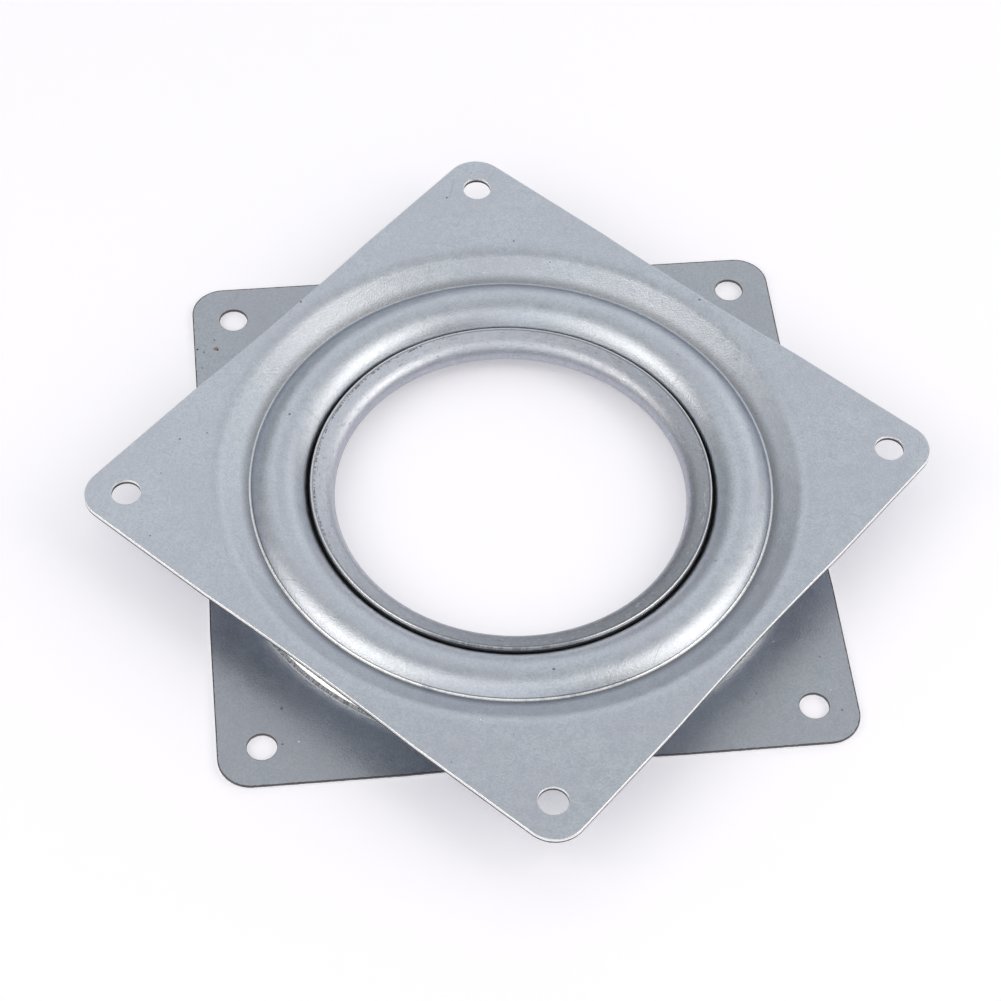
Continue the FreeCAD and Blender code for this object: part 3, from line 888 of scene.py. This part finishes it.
def slitGreaseAndShade(tree, spot, look, hasHub):
    # grease and shade in the slit round the hub
    radius = spot["radius"]
    if hasHub:
        greaseAndShade = times(tree, passing(tree, spot["height"], *slit["heights"]),
                       passing(tree, radius, *slit["inner"]), passing(tree, radius, *slit["outer"]))
    else:
        greaseAndShade = passing(tree, radius, *slit["upperPlate"])
    # grease and painted shade in the slit
    paint(tree, look, zinc["grease"], greaseAndShade, slit["grease"])


def wear(tree, spot, look, onFace):
    # pits, bright nicks and fine scratches
    place = spot["place"]
    pits = effect(tree, "specks", place, Cells=260.0, Share=0.03, Size=0.03)["Mask"]
    nicks = effect(tree, "specks", place, Cells=150.0, Share=0.04, Size=0.016)["Mask"]
    lines = math2(tree, "MAXIMUM", effect(tree, "scratches", place, Turn=0.5, Share=0.05)["Mask"],
                  effect(tree, "scratches", place, Turn=-1.1, Share=0.04)["Mask"])
    paint(tree, look, zinc["pit"], pits, damage["pits"])
    paint(tree, look, zinc["nick"], nicks, damage["nicks"])
    paint(tree, look, zinc["pit"], lines, damage["scratches"])
    dents = times(tree, math2(tree, "MAXIMUM", pits, lines), onFace, damage["dents"])
    look["height"] = math2(tree, "SUBTRACT", look["height"], dents)


def zincMaterial(name, spots, hasHub):
    # cloudy zinc coat: burnished where it was rolled or creased, with painted highlights on the crease, the
    # lip's edge and the lower plate's drawn slope, and painted shade beside the crease, in the slit and
    # under the upper plate; bare and dark where it was torn. The lower plate, which has the hub, lies face
    # down and shows its back
    material, tree, shader, place = metalMaterial(name)
    spot = spotOf(tree, place)
    look = zincCoat(tree, spot)
    if hasHub:
        onHub = times(tree, passing(tree, spot["radius"], lipRadius + 0.5, lipRadius),
                      passing(tree, spot["height"], *lip["foot"]))
        lowerTones(tree, spot, look, onHub)
        lipWear(tree, spot, look, onHub)
        creaseWear(tree, spot, look, lipEdgeHighlight(tree, spot, onHub))
        onFace = rising(tree, spot["band"], backBand - 0.5, backBand - 0.1)
    else:
        creaseWear(tree, spot, look, 1.0)
        dieLine(tree, spot, look)
        onFace = rising(tree, spot["band"], 0.5, 0.1)
    chips = noise(tree, place, 1300.0, 3.0, 0.65)
    tornWalls(tree, spot, look, chips)
    slitGreaseAndShade(tree, spot, look, hasHub)
    wear(tree, spot, look, onFace)
    for x, y, z, reach, ragged, shade in spots:
        mark = effect(tree, "mark", place, Border=chips, Spot=(x * mm, y * mm, z * mm), Reach=reach * mm,
                      Ragged=ragged)["Mask"]
        paint(tree, look, shade, mark, damage["marks"])

    bump = addNode(tree, "ShaderNodeBump", height=look["height"], strength=1.0, distance=zinc["bumpDepth"])
    tree.links.new(look["colour"], shader.inputs["Base Color"])
    tree.links.new(look["rough"], shader.inputs["Roughness"])
    tree.links.new(bump.outputs[0], shader.inputs["Normal"])
    print(f"{name}: {len(tree.nodes)} nodes, {len(spots)} marks")
    return material


upperTurn = math.radians(44.4)
upperPlace = Matrix.Translation((0, 0, stackHeight * mm)) @ Matrix.Rotation(upperTurn, 4, "Z")
plates = {  # the holes' inset from the sides in mm; the lower plate lies face down
    "lowerSheet": {"node": "lower_plate", "body": "base", "hub": True, "inset": 7.05,
                   "place": Matrix.Rotation(math.pi, 4, "X")},
    "upperSheet": {"node": "upper_plate", "body": "top", "hub": False, "inset": 6.35, "place": upperPlace},
}
tree = plateTree()
for name, plate in plates.items():
    section = edgeMesh("section", sectionPoints(plate["hub"]), pitchRadius)
    outerEdge = edgeMesh("outerEdge", edgePoints("edge", 1))
    holeEdge = edgeMesh("holeEdge", edgePoints("hole", -1))
    spacing = pressing["side"] - 2 * plate["inset"]
    piece = plainMesh(outlineCurve("outline"), tree, name, {
        "Section": section, "Outer Edge": outerEdge, "Hole Edge": holeEdge,
        "Section Radius": pitchRadius * mm, "Hole Spacing": spacing * mm,
        "Hole Radius": pressing["holeRadius"] * mm, "Sheet": pressing["sheet"] * mm,
        "Material": zincMaterial(name + "Zinc", marks[name], plate["hub"]),
    }, plate["place"])
    for chain in (section, outerEdge, holeEdge):
        bpy.data.objects.remove(chain)
    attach(piece, plate["body"])
    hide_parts(plate["node"])


# the balls keep the frame's own solids

ballSteel = {  # worn and clean steel under a patchy film of grease
    "worn": (0.42, 0.43, 0.45),
    "clean": (0.56, 0.57, 0.585),
    "grease": (0.10, 0.085, 0.06),
    "greaseShare": 0.55,
    "roughness": 0.12,
    "roughPatches": 0.16,
    "coat": 0.7,
    "bumpDepth": 0.000002,  # metres
}
material, tree, shader, place = metalMaterial("ballSteel")
mottle = effect(tree, "mottle", place, Cloud_Scale=350.0, Patch_Scale=1400.0, Crystal_Scale=6000.0)
film = rising(tree, mottle["Clouds"], 0.48, 0.62)
colour = mixed(tree, mottle["Patches"], ballSteel["worn"], ballSteel["clean"])
colour = mixed(tree, times(tree, film, ballSteel["greaseShare"]), colour, ballSteel["grease"])
rough = plus(tree, times(tree, mottle["Patches"], ballSteel["roughPatches"]), ballSteel["roughness"])
tree.links.new(colour, shader.inputs["Base Color"])
tree.links.new(rough, shader.inputs["Roughness"])
tree.links.new(times(tree, film, ballSteel["coat"]), shader.inputs["Coat Weight"])
bump = addNode(tree, "ShaderNodeBump", height=mottle["Grain"], strength=1.0,
               distance=ballSteel["bumpDepth"])
tree.links.new(bump.outputs[0], shader.inputs["Normal"])
balls = [item for item in bpy.data.objects if item.name.startswith("ball_")]
for ball in balls:
    ball.data.materials.clear()
    ball.data.materials.append(material)
print(f"balls: {len(balls)} in ballSteel")


# floor, light and camera

studio = {  # directions in degrees counterclockwise from +X and above the floor, lengths in metres
    "floorSize": 6.0,
    "floorColour": (0.772, 0.77, 0.815),
    "glow": 0.28,
    "glowColour": (0.955, 0.945, 1.0),
    "skyColour": (0.965, 0.985, 1.0),
    "warm": (1.0, 0.94, 0.85),
    "plain": (1.0, 1.0, 1.0),
    "skyStrength": 0.387,
    "lampDistance": 0.8,
    "lamps": {
        "left": {"colour": "warm", "around": 198, "above": 47, "size": (0.5, 0.55), "radiance": 1.4},
        "leftLow": {"colour": "warm", "around": 214, "above": 30, "size": (0.45, 0.3), "radiance": 0.8},
        "leftFar": {"colour": "warm", "around": 179, "above": 31, "size": (0.35, 0.4), "radiance": 1.0},
        "right": {"colour": "warm", "around": 346, "above": 43, "size": (0.45, 0.6), "radiance": 1.65},
        "rightLow": {"colour": "warm", "around": 5, "above": 15, "size": (0.5, 0.3), "radiance": 1.1},
        "rightNear": {"colour": "warm", "around": 328, "above": 32, "size": (0.4, 0.4), "radiance": 0.95},
        "front": {"colour": "plain", "around": 260, "above": 35, "size": (0.6, 0.4), "radiance": 0.6},
        "frontHigh": {"colour": "plain", "around": 260, "above": 65, "size": (0.5, 0.4), "radiance": 0.66},
        "back": {"colour": "plain", "around": 70, "above": 35, "size": (0.8, 0.3), "radiance": 0.46},
        "backHigh": {"colour": "plain", "around": 75, "above": 58, "size": (0.8, 0.4), "radiance": 0.28},
        "backLeft": {"colour": "plain", "around": 122, "above": 47, "size": (0.5, 0.3), "radiance": 0.45},
        "backRight": {"colour": "plain", "around": 30, "above": 35, "size": (0.5, 0.4), "radiance": 0.36},
        "backLow": {"colour": "plain", "around": 66, "above": 18, "size": (0.6, 0.2), "radiance": 0.45},
        "top": {"colour": "plain", "around": 75, "above": 88, "size": (0.6, 0.6), "radiance": 0.14},
    },
}

floorMaterial = bpy.data.materials.new("paleFloor")
floorMaterial.use_nodes = True
tree = floorMaterial.node_tree
tree.nodes.clear()
path = addNode(tree, "ShaderNodeLightPath")
seen = math2(tree, "MAXIMUM", path.outputs["Is Camera Ray"], path.outputs["Is Glossy Ray"])
diffuse = addNode(tree, "ShaderNodeBsdfDiffuse", color=(*studio["floorColour"], 1))
glow = addNode(tree, "ShaderNodeEmission", color=(*studio["glowColour"], 1),
               strength=times(tree, seen, studio["glow"]))
both = addNode(tree, "ShaderNodeAddShader", input0=diffuse.outputs[0], input1=glow.outputs[0])
addNode(tree, "ShaderNodeOutputMaterial", surface=both.outputs[0])
reach = studio["floorSize"] / 2
floorMesh = bpy.data.meshes.new("floor")
corners = [(-reach, -reach, 0), (reach, -reach, 0), (reach, reach, 0), (-reach, reach, 0)]
floorMesh.from_pydata(corners, [], [(0, 1, 2, 3)])
floorMesh.materials.append(floorMaterial)
floor = bpy.data.objects.new("floor", floorMesh)
bpy.context.scene.collection.objects.link(floor)

world = bpy.data.worlds.new("studioAir")
bpy.context.scene.world = world
world.use_nodes = True
air = world.node_tree.nodes["Background"]
air.inputs["Color"].default_value = (*studio["skyColour"], 1)
air.inputs["Strength"].default_value = studio["skyStrength"]

for name, softbox in studio["lamps"].items():
    lamp = bpy.data.lights.new(name, "AREA")
    lamp.shape = "RECTANGLE"
    lamp.size, lamp.size_y = softbox["size"]
    lamp.color = studio[softbox["colour"]]
    lamp.energy = softbox["radiance"] * math.pi * lamp.size * lamp.size_y
    around, above = math.radians(softbox["around"]), math.radians(softbox["above"])
    level = math.cos(above)
    direction = Vector((math.cos(around) * level, math.sin(around) * level, math.sin(above)))
    box = bpy.data.objects.new(name, lamp)
    box.location = direction * studio["lampDistance"]
    box.rotation_euler = direction.to_track_quat("Z", "Y").to_euler()
    bpy.context.scene.collection.objects.link(box)

print(f"studio: {len(studio['lamps'])} lamps")

camera = {
    "place": (-43.37, -276.17, 374.46),  # mm
    "turn": (36.828, -1.826, -6.151),  # degrees about X, Y and Z
    "lens": 100.82,
}
lens = bpy.data.cameras.new("photoCamera")
lens.sensor_width = 36
lens.lens = camera["lens"]
lens.clip_start = 0.01
lens.clip_end = 20
view = bpy.data.objects.new("photoCamera", lens)
aim = Euler([math.radians(angle) for angle in camera["turn"]]).to_matrix()
view.matrix_world = Matrix.Translation(Vector(camera["place"]) * mm) @ aim.to_4x4()
bpy.context.scene.collection.objects.link(view)
bpy.context.scene.camera = view
print(f"camera: {lens.lens} mm lens")

bpy.context.scene.view_settings.view_transform = "Standard"
